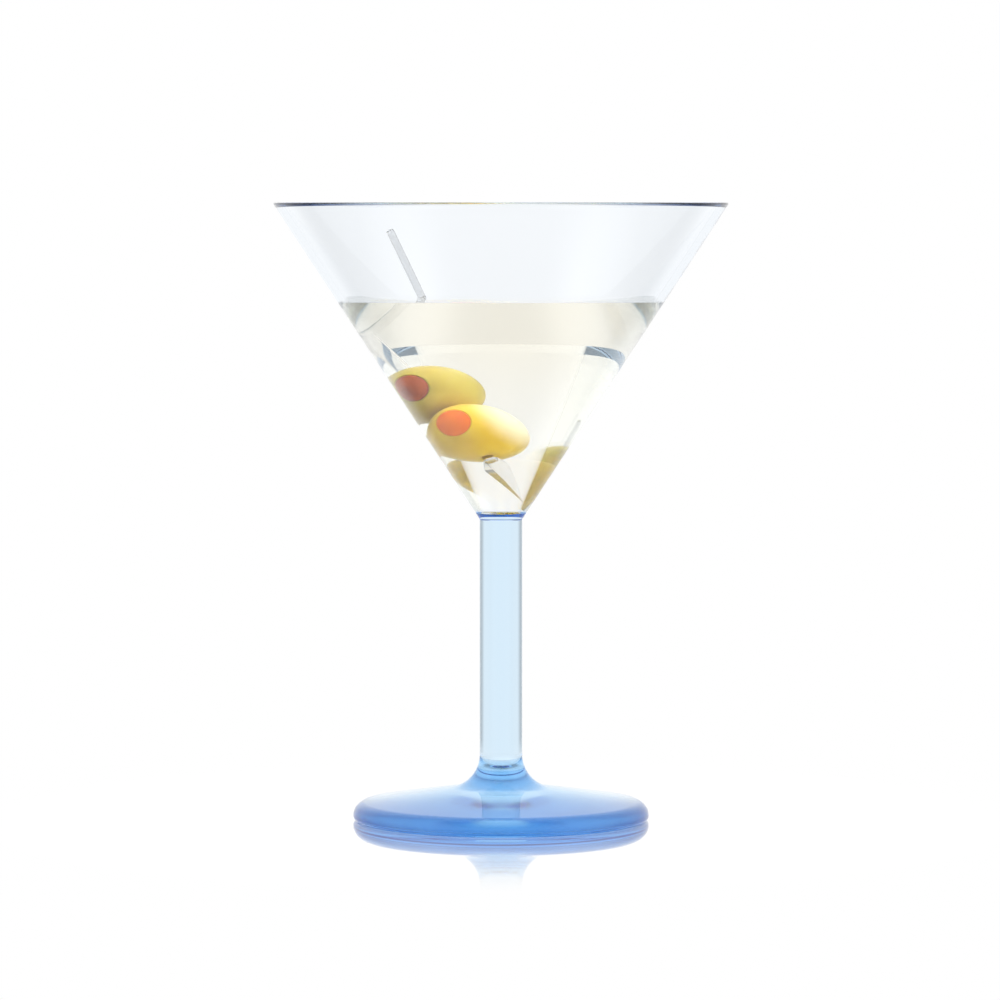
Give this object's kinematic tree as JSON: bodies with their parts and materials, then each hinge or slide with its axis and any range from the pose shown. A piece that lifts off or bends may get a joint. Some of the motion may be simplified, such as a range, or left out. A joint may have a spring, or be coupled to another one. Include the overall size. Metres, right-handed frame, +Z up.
{
  "type": "martini glass",
  "caption": "Cone-bowled stemmed cocktail glass on a round foot, holding a drink with stuffed olives on a pick.",
  "frame": {"origin": "centre of the foot's flat underside, on the glass's axis", "axes": "+Z up along the stem and bowl's axis; +Y away from the viewer, with the pick leaning towards -X and +Y"},
  "size_m": [0.1174, 0.1174, 0.16],
  "materials": {
    "clear_plastic": "clear polished plastic with a pale blue tint",
    "bond": "thin ring of blue adhesive",
    "drink": "clear pale straw liquid",
    "pick": "clear polished plastic",
    "olive_upper": "wet, smooth green olive skin",
    "olive_lower": "wet, smooth yellow-green olive skin",
    "pimento_upper": "moist brown-red pimento",
    "pimento_lower": "moist orange-red pimento"
  },
  "bodies": {
    "glass": {"bowl": "clear_plastic", "stem": "clear_plastic", "foot": "clear_plastic", "stem_bond": "bond"},
    "drink": {"drink": "drink"},
    "pick": {"pick": "pick"},
    "lower_olive": {"olive_lower": "olive_lower", "pimento_lower": "pimento_lower"},
    "upper_olive": {"olive_upper": "olive_upper", "pimento_upper": "pimento_upper"}
  },
  "joints": [
    {"name": "swirl", "type": "hinge", "parent": "glass", "child": "drink", "pos_m": [0, 0, 0.1], "axis": [0, 0, 1], "continuous": true},
    {"name": "pick_lift", "type": "slide", "parent": "drink", "child": "pick", "axis": [0, 0, 1], "range_m": [0, 0.085], "deforming": ["drink"]},
    {"name": "lower_olive_slide", "type": "slide", "parent": "pick", "child": "lower_olive", "axis": [-0.4142, 0.355, 0.8381], "range_m": [0, 0.016], "deforming": ["drink"]},
    {"name": "upper_olive_slide", "type": "slide", "parent": "lower_olive", "child": "upper_olive", "axis": [-0.4142, 0.355, 0.8381], "range_m": [0, 0.018], "deforming": ["drink"]}
  ]
}
